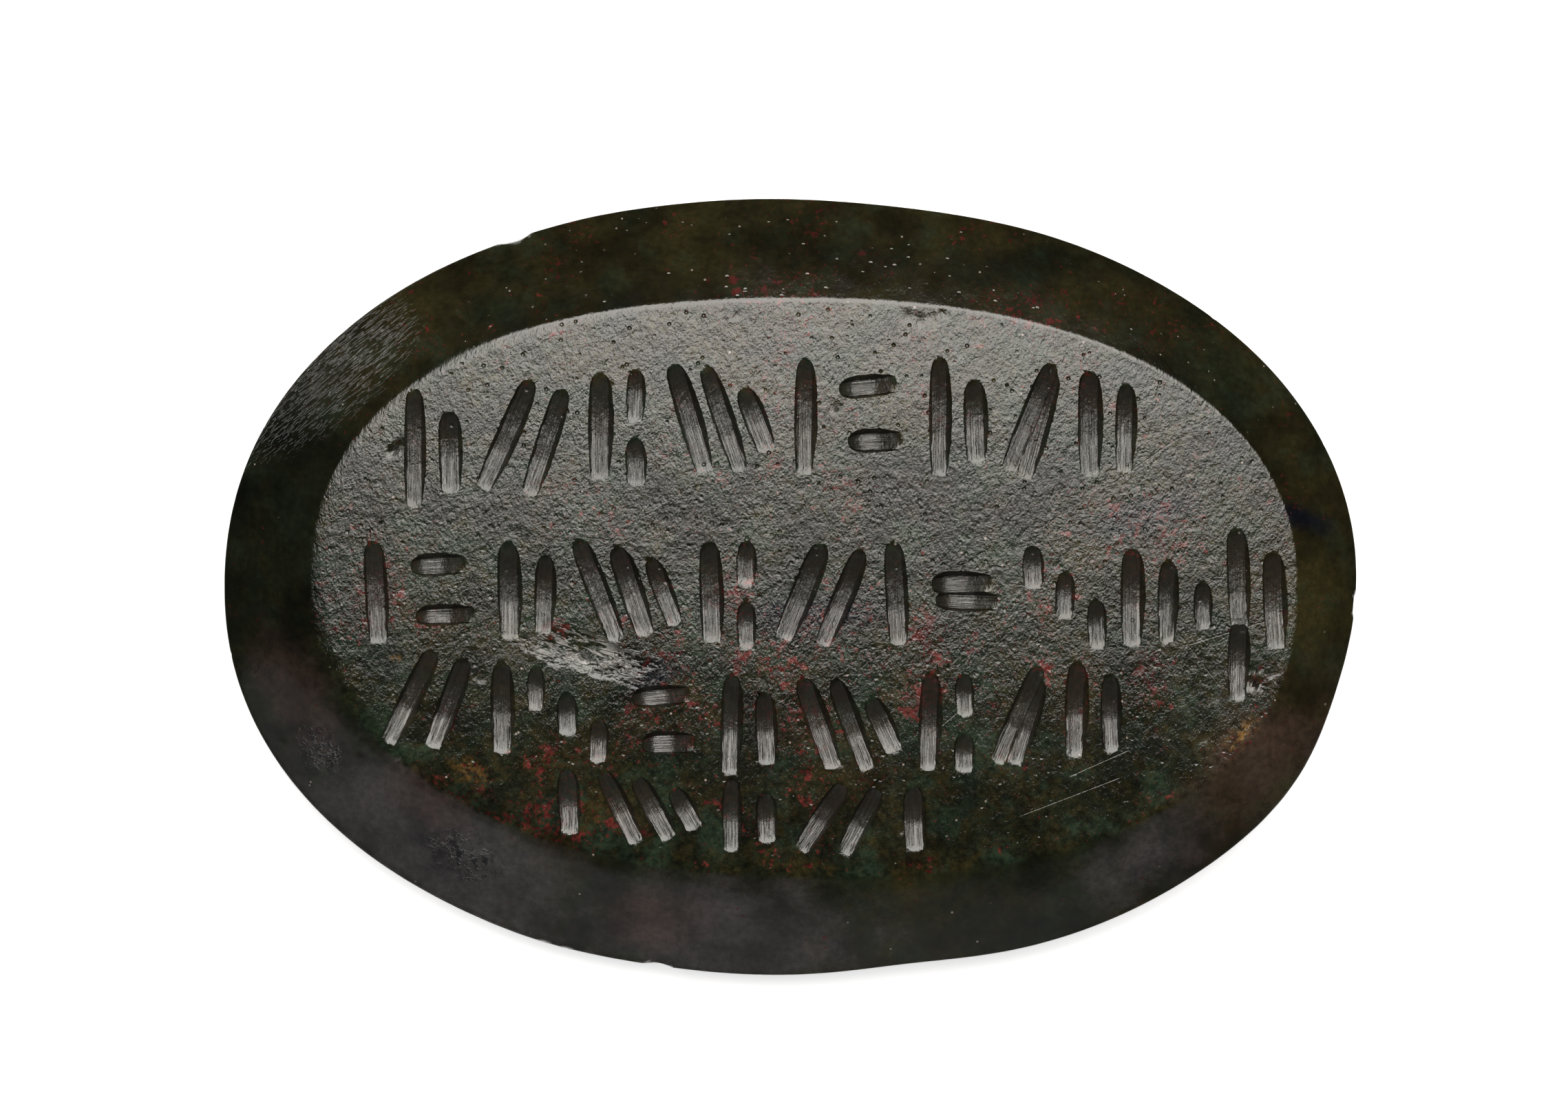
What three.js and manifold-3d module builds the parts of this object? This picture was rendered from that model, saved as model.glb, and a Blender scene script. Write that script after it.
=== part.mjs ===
// An oval gem of green jasper, cut with four rows of wheel strokes. It lies on its flat back, cut face up.
// Millimetres. +Z is up, +X runs along the gem and +Y towards the head of the rows.
// The origin is on the flat back, under the middle of the outline.
import * as THREE from "three";
import { mergeVertices } from "three/addons/utils/BufferGeometryUtils.js";
import Module from "manifold-3d";

// Outline at the girdle, where the gem is widest, before it was ground flat in places
const LENGTH = 24;
const WIDTH = 16.5;
// Superellipse exponents of the four quarters of an oval: 2 is an ellipse, and more is fuller
const OUTLINE_EXPONENT = { headRight: 2.1, headLeft: 2.17, footLeft: 2.11, footRight: 2.185 };
// Places where the outline was ground a little flat: direction and spread in degrees, depth in mm
const GROUND_FLATS = [
  { towardsDeg: 73.5, depth: 0.07, spreadDeg: 15 },
  { towardsDeg: 287.5, depth: 0.12, spreadDeg: 12 },
  { towardsDeg: 349, depth: 0.14, spreadDeg: 8 },
];

// Heights, from the flat back up
const THICKNESS = 2.6;
const BACK_BEVEL_HEIGHT = 0.9;
const GIRDLE_HEIGHT = 0.3; // where the border is widest
const FACE_CROWN = 0.18; // the middle of the face above its edge
const CROWN_EXPONENT = 2.5; // 2 is an even dome, and more falls away faster towards the edge

// Bevels, as widths seen from above. The sloping border is wider on the left than on the right.
const HEAD_BEVEL = 2.22;
const FOOT_BEVEL = 2.12;
const LEFT_BEVEL = 1.9;
const RIGHT_BEVEL = 1.33;
const BACK_BEVEL = 0.55;
const BEVEL_BULGE = 0.04; // the hand-ground border is slightly round across its slope
const EDGE_WEAR = 0.12; // width of the worn round along the face's edge
const FACE_EXPONENT = { headRight: 2.27, headLeft: 2.42, footLeft: 2.1, footRight: 2.4 };

// Wheel strokes: widths at the surface and on the flat floor, and depth at the middle of a stroke
const STROKE_WIDTH = 0.46;
const FLOOR_WIDTH = 0.32;
const STROKE_DEPTH = 0.2;
// How unevenly the strokes were cut: shares of their length and depth, and how far they turn in radians
const LENGTH_VARIATION = 0.06;
const DEPTH_VARIATION = 0.14;
const STROKE_WANDER = 0.035;

// Small edge chips: direction in degrees, radius of the bite and how deep it goes, in mm
const CHIPS = [
  { towardsDeg: -2, radius: 0.9, bite: 0.07 },
  { towardsDeg: 252, radius: 1.1, bite: 0.06 },
  { towardsDeg: 127, radius: 0.8, bite: 0.05 },
];

// Facets of the blank around the gem, of each stroke along its floor, and of a chip
const OUTLINE_FACETS = 72;
const STROKE_FACETS = 6;
const CHIP_FACETS = 12;

// A sign is a few separate cuts. Each cut runs from (x, y) to (x, y): x counts in stroke pitches from
// the sign's left side, and y in shares of the row's height from its foot.
const SIGNS = {
  stave: { width: 0, cuts: [[0, 1, 0.06, 0]] },
  twins: { width: 1, cuts: [[0, 1, 0, 0], [1, 0.84, 1, 0.08]] },
  leaners: { width: 2.2, cuts: [[1.2, 1, 0, 0.03], [2.2, 0.9, 1.2, 0]] },
  backLeaners: { width: 2.7, cuts: [[0, 1, 1, 0.03], [1, 0.95, 1.9, 0.06], [2, 0.8, 2.7, 0.2]] },
  recutLean: { width: 1.2, cuts: [[1.1, 1, 0, 0.04], [1.2, 0.9, 0.35, 0]] },
  bars: { width: 1.8, cuts: [[0, 0.74, 1.6, 0.78], [0.2, 0.26, 1.8, 0.28]] },
  broadBar: { width: 1.9, cuts: [[0, 0.59, 1.8, 0.61], [0.2, 0.44, 1.9, 0.42]] },
  brokenTwins: { width: 1, cuts: [[0, 1, 0, 0], [1, 1, 1, 0.56], [1, 0.4, 1, -0.04]] },
  steps: { width: 1.8, cuts: [[0, 1, 0, 0.56], [0.9, 0.74, 0.9, 0.28], [1.8, 0.46, 1.8, 0]] },
  longStave: { width: 1, cuts: [[1, 1.2, 1, 0.2], [1, 0.3, 1, -0.5], [0, 0.66, 0, 0.22]] },
};

// Rows from the head down. left and right are shares of the face's half length, foot and height shares
// of its half width. arch is how far the ends of the row drop below its middle, and tilt how far its
// right end lies above the middle besides, both as shares of the height.
const ROWS = [
  {
    leftShare: -0.79, rightShare: 0.65, footShare: 0.4, heightShare: 0.385,
    archShare: 0.18, tiltShare: 0.11,
    signs: ["twins", "leaners", "brokenTwins", "backLeaners", "stave", "bars", "twins", "recutLean", "twins"],
  },
  {
    leftShare: -0.87, rightShare: 0.95, footShare: -0.19, heightShare: 0.355,
    archShare: 0.04, tiltShare: -0.04,
    signs: [
      "stave", "bars", "twins", "backLeaners", "brokenTwins", "leaners",
      "stave", "broadBar", "steps", "twins", "longStave", "stave",
    ],
  },
  {
    leftShare: -0.84, rightShare: 0.62, footShare: -0.635, heightShare: 0.33,
    archShare: -0.26, tiltShare: -0.08,
    signs: ["leaners", "stave", "steps", "bars", "twins", "backLeaners", "brokenTwins", "recutLean", "twins"],
  },
  {
    leftShare: -0.48, rightShare: 0.22, footShare: -0.9, heightShare: 0.24,
    archShare: -0.06, tiltShare: -0.12,
    signs: ["stave", "backLeaners", "twins", "leaners", "stave"],
  },
];

const STONE = { color: 0x1d2113, roughness: 0.36, metalness: 0 };

const wasm = await Module();
wasm.setup();

const radians = (degrees) => (degrees * Math.PI) / 180;

function quarterExponent(angle, exponent) {
  const head = Math.sin(angle) >= 0;
  const right = Math.cos(angle) >= 0;
  if (head) return right ? exponent.headRight : exponent.headLeft;
  return right ? exponent.footRight : exponent.footLeft;
}

// Distance from an oval's centre to its edge in one direction
function ovalRadius(angle, halfLength, halfWidth, exponent) {
  const power = quarterExponent(angle, exponent);
  const along = Math.abs(Math.cos(angle) / halfLength) ** power;
  const across = Math.abs(Math.sin(angle) / halfWidth) ** power;
  return (along + across) ** (-1 / power);
}

// The angle from one direction to another, between minus and plus half a turn
function turnBetween(from, to) {
  return Math.atan2(Math.sin(to - from), Math.cos(to - from));
}

function groundAway(angle) {
  return GROUND_FLATS.reduce((sum, flat) => {
    const turn = turnBetween(radians(flat.towardsDeg), angle);
    return sum + flat.depth * Math.exp(-((turn / radians(flat.spreadDeg)) ** 2));
  }, 0);
}

const faceHalfLength = (LENGTH - LEFT_BEVEL - RIGHT_BEVEL) / 2;
const faceHalfWidth = (WIDTH - HEAD_BEVEL - FOOT_BEVEL) / 2;
const faceX = (LEFT_BEVEL - RIGHT_BEVEL) / 2;
const faceY = (FOOT_BEVEL - HEAD_BEVEL) / 2;

function girdlePoint(angle) {
  const reach = ovalRadius(angle, LENGTH / 2, WIDTH / 2, OUTLINE_EXPONENT) - groundAway(angle);
  return new THREE.Vector2(reach * Math.cos(angle), reach * Math.sin(angle));
}

function backPoint(angle) {
  const shrink = new THREE.Vector2(1 - (2 * BACK_BEVEL) / LENGTH, 1 - (2 * BACK_BEVEL) / WIDTH);
  return girdlePoint(angle).multiply(shrink);
}

function facePoint(angle, share) {
  const reach = share * ovalRadius(angle, faceHalfLength, faceHalfWidth, FACE_EXPONENT);
  return new THREE.Vector2(faceX + reach * Math.cos(angle), faceY + reach * Math.sin(angle));
}

const faceEdgeHeight = THICKNESS - FACE_CROWN;
const widestBevel = Math.max(HEAD_BEVEL, FOOT_BEVEL, LEFT_BEVEL, RIGHT_BEVEL);
const bevelFall = (faceEdgeHeight - BACK_BEVEL_HEIGHT - GIRDLE_HEIGHT) / widestBevel;

// The border falls at one slope all round, so the girdle is highest where the border is narrow
function bevelFoot(angle) {
  return faceEdgeHeight - bevelFall * girdlePoint(angle).distanceTo(facePoint(angle, 1));
}

function crownHeight(share) {
  return THICKNESS - FACE_CROWN * share ** CROWN_EXPONENT;
}

// Height of the uncut face over a point
function faceHeight(x, y) {
  const angle = Math.atan2(y - faceY, x - faceX);
  const reach = ovalRadius(angle, faceHalfLength, faceHalfWidth, FACE_EXPONENT);
  return crownHeight(Math.hypot(x - faceX, y - faceY) / reach);
}

// Rings of the blank from the middle of the back, over the girdle and up to the middle of the face.
// Each gives its points and their height by their direction.
function blankRings() {
  const level = (height) => () => height;
  const onBevel = (mix) => ({
    at: (angle) => girdlePoint(angle).lerp(facePoint(angle, 1), mix),
    height: (angle) => {
      const foot = bevelFoot(angle);
      return foot + mix * (faceEdgeHeight - foot) + BEVEL_BULGE * Math.sin(mix * Math.PI);
    },
  });
  const wornShare = 1 - EDGE_WEAR / faceHalfWidth;
  const wornMix = 1 - EDGE_WEAR / HEAD_BEVEL;
  const onFace = (share) => ({ at: (angle) => facePoint(angle, share), height: level(crownHeight(share)) });
  return [
    { at: (angle) => backPoint(angle).multiplyScalar(0), height: level(0) },
    { at: backPoint, height: level(0) },
    { at: girdlePoint, height: level(BACK_BEVEL_HEIGHT) },
    { at: girdlePoint, height: bevelFoot },
    onBevel(0.35),
    onBevel(0.7),
    onBevel(wornMix),
    onFace(wornShare),
    onFace(0.7),
    onFace(0.35),
    onFace(0),
  ];
}

// A lathe skin gives the closed surface, and each of its points then moves out to the oval
function blankGeometry() {
  const rings = blankRings();
  const lathe = new THREE.LatheGeometry(
    rings.map((ring, i) => new THREE.Vector2(i === 0 || i === rings.length - 1 ? 0 : 1, i)),
    OUTLINE_FACETS,
  );
  const place = lathe.getAttribute("position");
  for (let side = 0; side <= OUTLINE_FACETS; side++) {
    const angle = ((side % OUTLINE_FACETS) / OUTLINE_FACETS) * 2 * Math.PI;
    rings.forEach((ring, i) => {
      const point = ring.at(angle);
      place.setXYZ(side * rings.length + i, point.x, point.y, ring.height(angle));
    });
  }
  return lathe;
}

// The cutting wheel whose rim leaves a stroke of this length: a flat rim between sloping cheeks.
// It turns on the Y axis, with the stroke's surface point at the origin.
function wheelGeometry(length, depth) {
  const radius = (length ** 2 / 4 + depth ** 2) / (2 * depth);
  const clear = STROKE_DEPTH; // how far the cheeks go on sloping above the face
  const cheek = (STROKE_WIDTH - FLOOR_WIDTH) / 2 / STROKE_DEPTH;
  const shoulder = Math.max(radius - depth - clear, radius / 4);
  const rim = FLOOR_WIDTH / 2;
  const hub = rim + cheek * (radius - shoulder);
  const profile = [
    [0, -hub],
    [shoulder, -hub],
    [radius, -rim],
    [radius, rim],
    [shoulder, hub],
    [0, hub],
  ].map(([r, y]) => new THREE.Vector2(r, y));
  const bitingAngle = 2 * Math.asin(Math.min(1, length / 2 / radius));
  const facets = Math.ceil((STROKE_FACETS * 2 * Math.PI) / bitingAngle);
  return new THREE.LatheGeometry(profile, facets).translate(0, 0, radius - depth);
}

// Repeatable unevenness between -1 and 1 for the cut with this number
const unevenness = (number, kind) => Math.sin(number * 2.399 + kind * 1.7);

// The signs of a row are spread evenly, with one pitch between neighbours
function rowPitch(signs, run) {
  const pitches = signs.reduce((sum, sign) => sum + sign.width, signs.length - 1);
  return run / pitches;
}

// Every cut of every row, as { x, y, heading, length, depth }
function layOutCuts() {
  const cuts = [];
  for (const row of ROWS) {
    const height = row.heightShare * faceHalfWidth;
    const left = faceX + row.leftShare * faceHalfLength;
    const run = (row.rightShare - row.leftShare) * faceHalfLength;
    const signs = row.signs.map((name) => SIGNS[name]);
    const pitch = rowPitch(signs, run);
    let start = left;
    for (const sign of signs) {
      const side = (2 * (start + (sign.width * pitch) / 2 - left)) / run - 1;
      const lift = row.tiltShare * side - row.archShare * side ** 2;
      const foot = faceY + row.footShare * faceHalfWidth + lift * height;
      for (const [x1, y1, x2, y2] of sign.cuts) {
        const along = (x2 - x1) * pitch;
        const rise = (y2 - y1) * height;
        const number = cuts.length;
        cuts.push({
          x: start + ((x1 + x2) / 2) * pitch,
          y: foot + ((y1 + y2) / 2) * height,
          heading: Math.atan2(rise, along) + STROKE_WANDER * unevenness(number, 0),
          length: Math.hypot(along, rise) * (1 + LENGTH_VARIATION * unevenness(number, 1)),
          depth: STROKE_DEPTH * (1 + DEPTH_VARIATION * unevenness(number, 2)),
        });
      }
      start += (sign.width + 1) * pitch;
    }
  }
  return cuts;
}

function toSolid(geometry) {
  const bare = geometry.clone();
  bare.deleteAttribute("normal");
  bare.deleteAttribute("uv");
  const merged = mergeVertices(bare, 1e-4);
  return new wasm.Manifold(
    new wasm.Mesh({
      numProp: 3,
      vertProperties: merged.getAttribute("position").array,
      triVerts: new Uint32Array(merged.index.array),
    }),
  );
}

function toGeometry(solid) {
  const { vertProperties, triVerts } = solid.getMesh();
  const geometry = new THREE.BufferGeometry();
  geometry.setAttribute("position", new THREE.BufferAttribute(vertProperties, 3));
  geometry.setIndex(new THREE.BufferAttribute(triVerts, 1));
  geometry.computeVertexNormals();
  return geometry;
}

function cutStrokes(stone) {
  return layOutCuts().reduce((left, cut) => {
    const wheel = wheelGeometry(cut.length, cut.depth);
    wheel.rotateZ(cut.heading).translate(cut.x, cut.y, faceHeight(cut.x, cut.y));
    return left.subtract(toSolid(wheel));
  }, stone);
}

function chipEdge(stone) {
  return CHIPS.reduce((left, chip) => {
    const angle = radians(chip.towardsDeg);
    const edge = girdlePoint(angle);
    const out = edge.clone().normalize().multiplyScalar(chip.radius - chip.bite);
    const ball = new THREE.SphereGeometry(chip.radius, CHIP_FACETS, CHIP_FACETS / 2);
    ball.translate(edge.x + out.x, edge.y + out.y, bevelFoot(angle));
    return left.subtract(toSolid(ball));
  }, stone);
}

// The ground flats and chips leave the outline a little off the middle, so the gem moves back over it
function makeGem() {
  const geometry = toGeometry(chipEdge(cutStrokes(toSolid(blankGeometry()))));
  geometry.computeBoundingBox();
  const middle = geometry.boundingBox.getCenter(new THREE.Vector3());
  geometry.translate(-middle.x, -middle.y, 0);
  const gem = new THREE.Mesh(geometry, new THREE.MeshStandardMaterial(STONE));
  gem.name = "engraved_gem";
  return gem;
}

const group = new THREE.Group();
group.add(makeGem());

export default group;
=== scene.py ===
"""An oval gem of dark green jasper with rows of wheel-cut strokes, on a pale studio floor."""

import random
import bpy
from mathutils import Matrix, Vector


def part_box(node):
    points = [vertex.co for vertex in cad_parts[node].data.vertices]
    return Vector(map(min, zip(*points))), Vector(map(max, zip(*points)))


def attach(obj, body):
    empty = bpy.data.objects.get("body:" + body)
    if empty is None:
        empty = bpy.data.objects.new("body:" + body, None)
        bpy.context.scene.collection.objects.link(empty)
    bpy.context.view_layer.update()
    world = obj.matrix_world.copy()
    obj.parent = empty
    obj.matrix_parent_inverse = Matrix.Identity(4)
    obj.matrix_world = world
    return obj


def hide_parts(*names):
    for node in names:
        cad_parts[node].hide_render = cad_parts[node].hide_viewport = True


bl_info = {
    "name": "Engraved Gem",
    "version": (1, 0, 0),
    "blender": (4, 5, 0),
    "location": "3D View > Sidebar > Gem",
    "description": "Models an oval jasper gem with rows of wheel-cut strokes on a pale studio floor",
    "category": "Object",
}

from math import atan2, cos, exp, floor, hypot, pi, radians, sin, sqrt, tan

import bpy
from bpy.props import FloatProperty, FloatVectorProperty, PointerProperty
from bpy.types import Operator, Panel, PropertyGroup
from mathutils import Matrix, Vector, kdtree, noise

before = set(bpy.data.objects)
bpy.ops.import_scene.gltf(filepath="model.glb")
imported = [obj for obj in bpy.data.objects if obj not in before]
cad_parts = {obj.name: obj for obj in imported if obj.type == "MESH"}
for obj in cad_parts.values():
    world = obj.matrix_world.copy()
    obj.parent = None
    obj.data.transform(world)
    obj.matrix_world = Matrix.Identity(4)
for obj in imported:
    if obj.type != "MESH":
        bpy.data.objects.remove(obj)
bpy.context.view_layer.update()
NODE = "engraved_gem"
NODE_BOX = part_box(NODE)

MM = 0.001

# Superellipse exponents of an oval's quarters: head right, head left, foot left, foot right
OUTLINE_EXPONENTS = (2.1, 2.17, 2.11, 2.185)
FACE_EXPONENTS = (2.27, 2.42, 2.1, 2.4)
# The face falls away faster towards its edge: 2 would be an even dome
CROWN_POWER = 2.5
# Places where the outline was ground a little flat: direction in degrees, depth, spread in degrees
GROUND_FLATS = (
    (73.5, 0.07 * MM, 15.0),
    (287.5, 0.12 * MM, 12.0),
    (349.0, 0.14 * MM, 8.0),
)
# Chips out of the girdle: direction in degrees, radius of the bite, how deep it goes
EDGE_CHIPS = (
    (-2.0, 0.9 * MM, 0.07 * MM),
    (252.0, 1.1 * MM, 0.06 * MM),
    (127.0, 0.8 * MM, 0.05 * MM),
)

# Small nicks round the girdle: how many, and ranges of their radius and depth in millimetres
NICK_SEED = 11
NICK_COUNT = 12
NICK_RADII = (0.08, 0.18)
NICK_DEPTHS = (0.004, 0.012)
# How uneven a bite is, as a share of its radius, and how long its bumps are
BITE_ROUGHNESS = 0.02
BITE_GRAIN = 0.25 * MM
# Pits scattered over the front, in the same way
PIT_SEED = 5
PIT_COUNT = 60
PIT_RADII = (0.07, 0.13)
PIT_DEPTHS = (0.012, 0.03)
# Where larger pits gather: place in millimetres, spread, and how many
PIT_GATHERINGS = (
    ((-6.94, -5.68), 0.5, 16), ((-9.85, -3.52), 0.45, 12), ((-8.35, 2.89), 0.15, 4),
    ((2.9, 5.7), 0.2, 4), ((9.8, -1.95), 0.25, 5),
)
GATHERED_RADII = (0.09, 0.2)
GATHERED_DEPTHS = (0.02, 0.045)
# Waves of the worn surface: height and length in millimetres. Then how unevenly the border was lapped, and
# how far outside the face's edge that is full. What is lower than the last is the flat back, and unworn.
BROAD_WEAR = (0.010, 2.6)
FINE_WEAR = (0.0022, 0.33)
LAP_WEAR = 0.03
LAP_WEAR_REACH = 0.8 * MM
UNWORN_HEIGHT = 0.02 * MM
# Round of the face's edge where it is crisp, what wear adds where it is soft, and the crisp direction
CRISP_EDGE = 0.014 * MM
SOFTER_EDGE = 0.16 * MM
CRISP_TOWARDS = 50.0

# Cells of the grids on the face and on the back. The face's edge has four times as many as the back's.
FACE_CELLS = (240, 140)
BACK_CELLS = (60, 35)
# Rings round the face's edge, by their distance outwards from it, and how many more reach the girdle.
# They are extruded a step apart before each is put in its place.
EDGE_RINGS = tuple(x * MM for x in (-0.06, -0.03, 0.0, 0.03, 0.07, 0.12, 0.19, 0.28))
BORDER_RINGS = 16
RING_STEP = 0.1 * MM
# The girdle's rounded edges, by height and by how far they draw in, and the round of the back's edge
GIRDLE_ROUND = 0.05 * MM
GIRDLE_EASE = 0.012 * MM
BACK_EDGE_ROUND = 0.04 * MM
# Rings on the slope round the back, and how far inside its edge the coarser grid begins
BACK_SLOPE_RINGS = 6
BACK_MARGIN = 0.5 * MM

# Signs: width in stroke pitches, then each cut from (x, y) to (x, y). x counts pitches from the sign's
# left side, and y shares of the row's height from its foot.
SIGNS = {
    "stave": (0.0, ((0, 1, 0.06, 0),)),
    "twins": (1.0, ((0, 1, 0, 0), (1, 0.84, 1, 0.08))),
    "leaners": (2.2, ((1.2, 1, 0, 0.03), (2.2, 0.9, 1.2, 0))),
    "back_leaners": (2.7, ((0, 1, 1, 0.03), (1, 0.95, 1.9, 0.06), (2, 0.8, 2.7, 0.2))),
    "recut_lean": (1.2, ((1.1, 1, 0, 0.04), (1.2, 0.9, 0.35, 0))),
    "bars": (1.8, ((0, 0.74, 1.6, 0.78), (0.2, 0.26, 1.8, 0.28))),
    "broad_bar": (1.9, ((0, 0.59, 1.8, 0.61), (0.2, 0.44, 1.9, 0.42))),
    "broken_twins": (1.0, ((0, 1, 0, 0), (1, 1, 1, 0.56), (1, 0.4, 1, -0.04))),
    "steps": (1.8, ((0, 1, 0, 0.56), (0.9, 0.74, 0.9, 0.28), (1.8, 0.46, 1.8, 0))),
    "long_stave": (1.0, ((1, 1.2, 1, 0.2), (1, 0.3, 1, -0.5), (0, 0.66, 0, 0.22))),
}
# Rows from the head down: left, right, foot and height as shares of the face's half length and width,
# how far the row's ends drop, how far its right end rises, and its signs
ROWS = (
    (-0.79, 0.65, 0.4, 0.385, 0.18, 0.11,
     "twins leaners broken_twins back_leaners stave bars twins recut_lean twins"),
    (-0.87, 0.95, -0.19, 0.355, 0.04, -0.04,
     "stave bars twins back_leaners broken_twins leaners stave broad_bar steps twins long_stave stave"),
    (-0.84, 0.62, -0.635, 0.33, -0.26, -0.08,
     "leaners stave steps bars twins back_leaners broken_twins recut_lean twins"),
    (-0.48, 0.22, -0.9, 0.24, -0.06, -0.12,
     "stave back_leaners twins leaners stave"),
)
# Places on the stone in millimetres, each with its reach, how narrow it is across and its turn from the
# length axis in degrees. First the blue black clouds, the yellow spots and the crowds of specks.
INK_CLOUDS = (
    ((0.4, -0.5), 2.6, 0.25, 3.0), ((7.4, 1.5), 2.4, 0.2, 12.0), ((10.7, 1.5), 1.2, 0.25, -18.0),
    ((-2.9, -1.9), 0.8, 0.6, 20.0),
)
OCHRE_SPOTS = (
    ((-6.7, -3.9), 0.7, 0.5, -30.0), ((-8.3, -1.5), 0.2, 0.6, 0.0), ((9.5, -3.1), 0.6, 0.4, 50.0),
)
SPECK_GATHERINGS = (
    ((-0.6, 6.6), 2.2, 0.5, 0.0), ((4.3, 6.0), 1.6, 0.6, -15.0), ((2.2, 0.2), 1.9, 0.6, 0.0),
    ((-1.7, 0.1), 1.4, 0.6, 0.0), ((7.6, -1.9), 1.0, 0.6, 20.0), ((-4.6, 1.2), 1.1, 0.6, 0.0),
    ((2.6, -2.3), 1.6, 0.6, 0.0), ((-5.0, -4.9), 0.9, 0.5, -20.0), ((-1.0, -4.8), 0.8, 0.8, 0.0),
    ((10.8, 1.8), 1.1, 0.6, -20.0), ((1.0, -0.9), 3.4, 0.3, 0.0), ((-6.5, -0.9), 1.6, 0.4, 0.0),
    ((-0.5, -1.6), 4.5, 0.3, 0.0), ((5.0, -1.3), 2.2, 0.4, 0.0),
)
# Pitted patches, whose blue black is painted shade in the pits, brown clouds, and grey towards the foot
# that is partly patina and partly a painted sheen
PITS_AND_PIT_SHADE_CLOUDS = (((-6.9, -5.7), 1.2, 0.6, -25.0), ((-9.85, -3.5), 1.0, 0.6, -45.0))
UMBER_CLOUDS = (
    ((9.9, -3.7), 2.8, 0.5, 50.0), ((-10.4, -2.2), 2.0, 0.5, -65.0), ((-2.9, -7.0), 1.5, 0.6, -8.0),
    ((-7.6, -4.6), 1.3, 0.5, -38.0),
)
PATINA_AND_SHEEN_CLOUDS = (
    ((-7.6, -5.6), 5.2, 0.5, -34.0), ((-1.4, -7.4), 3.8, 0.5, -2.0), ((7.6, -5.6), 2.0, 0.5, 32.0),
)
# Where the face was rubbed rough, and where the border keeps its lap lines
RUBBED_PATCH = ((-4.25, -1.4), 1.4, 0.34, -14.0)
LAPPED_PATCH = ((-9.9, 4.3), 3.0, 0.42, 38.0)
# Fine scratches on the face: place in millimetres, turn from the length axis in degrees, and length
SCRATCHES = (
    (5.9, -4.4, 21.0, 2.5), (6.5, -3.7, 24.0, 1.5), (9.4, -0.9, 17.0, 2.4), (7.4, 2.6, 35.0, 1.8),
    (8.6, -1.5, -52.0, 1.6), (-6.4, 2.4, 12.0, 1.3), (3.2, -2.9, 40.0, 0.9),
)
# Red specks: size of their noise in millimetres and the level over which it shows, and that step's width
SPECK_LAYERS = ((0.08, 0.62), (0.16, 0.62), (0.3, 0.65))
SPECK_STEP = 0.06
# Relief in millimetres
GRAIN_RISE = 0.010
RIPPLE_RISE = 0.0205
WHEEL_MARK_RISE = 0.010
TORN_RISE = 0.02
RUB_RISE = -0.05
CRUMB_RISE = -0.008
LAP_LINE_RISE = -0.009
SCRATCH_RISE = -0.0018
# Least and most roughness of the polish, and what the cuts, the lapped and the rubbed patch add to it
STONE_ROUGHNESS = (0.11, 0.16)
CUT_ROUGHNESS = 0.1
LAP_ROUGHNESS = 0.16
RUB_ROUGHNESS = 0.08
JASPER_IOR = 1.54

# How the strokes differ: shares of their length, depth and floor width, and their turn in radians
LENGTH_VARIATION = 0.06
DEPTH_VARIATION = 0.14
FLOOR_VARIATION = 0.1
STROKE_WANDER = 0.035

# The engraver's cutter: cells along a stroke, points across its floor and cells across the whole
CUTTER_LENGTHS = 28
FLOOR_POINTS = 9
CUTTER_CELLS = FLOOR_POINTS + 5
CUT_PASSES = 3
# The cutter runs past a stroke's ends by this factor, and its lid is this high over the face
CUTTER_REACH = 1.08
LID_HEIGHT = 0.35 * MM
# A stroke begins in an arc over this share of its length, longer in the staves than in the bars. The wheel
# was lifted out over the last share of it, at a slope that is gentler in the staves.
STAVE_HEAD_SHARE = 0.45
BAR_HEAD_SHARE = 0.3
STAVE_LIFT = tan(radians(14.0))
BAR_LIFT = tan(radians(20.0))
LIFT_SHARE = 0.42
LIFT_ROUND = 0.03 * MM
# The wheel was held a little askew: share of both cheeks' width that the upper or right one has, and the
# floor's fall towards it in the staves and in the bars
WIDE_CHEEK_SHARE = 0.68
STAVE_FALL = tan(radians(4.0))
BAR_FALL = tan(radians(12.0))
# A stroke is rounded in plan over these lengths. At the very foot its floor has the first share of its
# width and grows by the second, and nowhere has it less than the last.
HEAD_ROUND = 0.42 * MM
FOOT_ROUND = 0.12 * MM
FOOT_FLOOR = 0.55
FOOT_GROWTH = 0.45
LEAST_FLOOR = 0.2
# A stroke's rounded lip: its most height, also as a share of the depth, its least and its width
LIP_HEIGHT = 0.018 * MM
LIP_SHARE = 0.4
LEAST_LIP = 0.002 * MM
LIP_REACH = 0.004 * MM
CUTTER_FLARE = 0.1 * MM
# A cheek turns to the floor this far outside it, after this share of its fall. The floor is dished.
CHEEK_FOOT = 0.012 * MM
CHEEK_FALL_SHARE = 0.82
FLOOR_DISH = 0.012 * MM
# How far a stroke's sides waver, and the waves' length along and across it
SIDE_WAVER = 0.014 * MM
WAVER_LENGTH = 0.13 * MM
WAVER_BREADTH = 0.2 * MM
# Ridges along a floor, and the depth at which they are full
RIDGE_HEIGHT = 0.016 * MM
RIDGE_LENGTH = 1.9 * MM
RIDGE_DEPTH = 0.05 * MM

# Widths over which the material changes at the border and in a cut, and how far outside the face's edge
# and from a stroke's middle line a cut is looked for
BORDER_BLEND = 0.16 * MM
CUT_BLEND = 0.06 * MM
CUT_MARGIN = 0.3 * MM
STROKE_MARGIN = 0.4 * MM
LINE_STEPS = 20
# Edges sharper than this many degrees stay crisp
SMOOTH_ANGLE = 32.0

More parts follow.
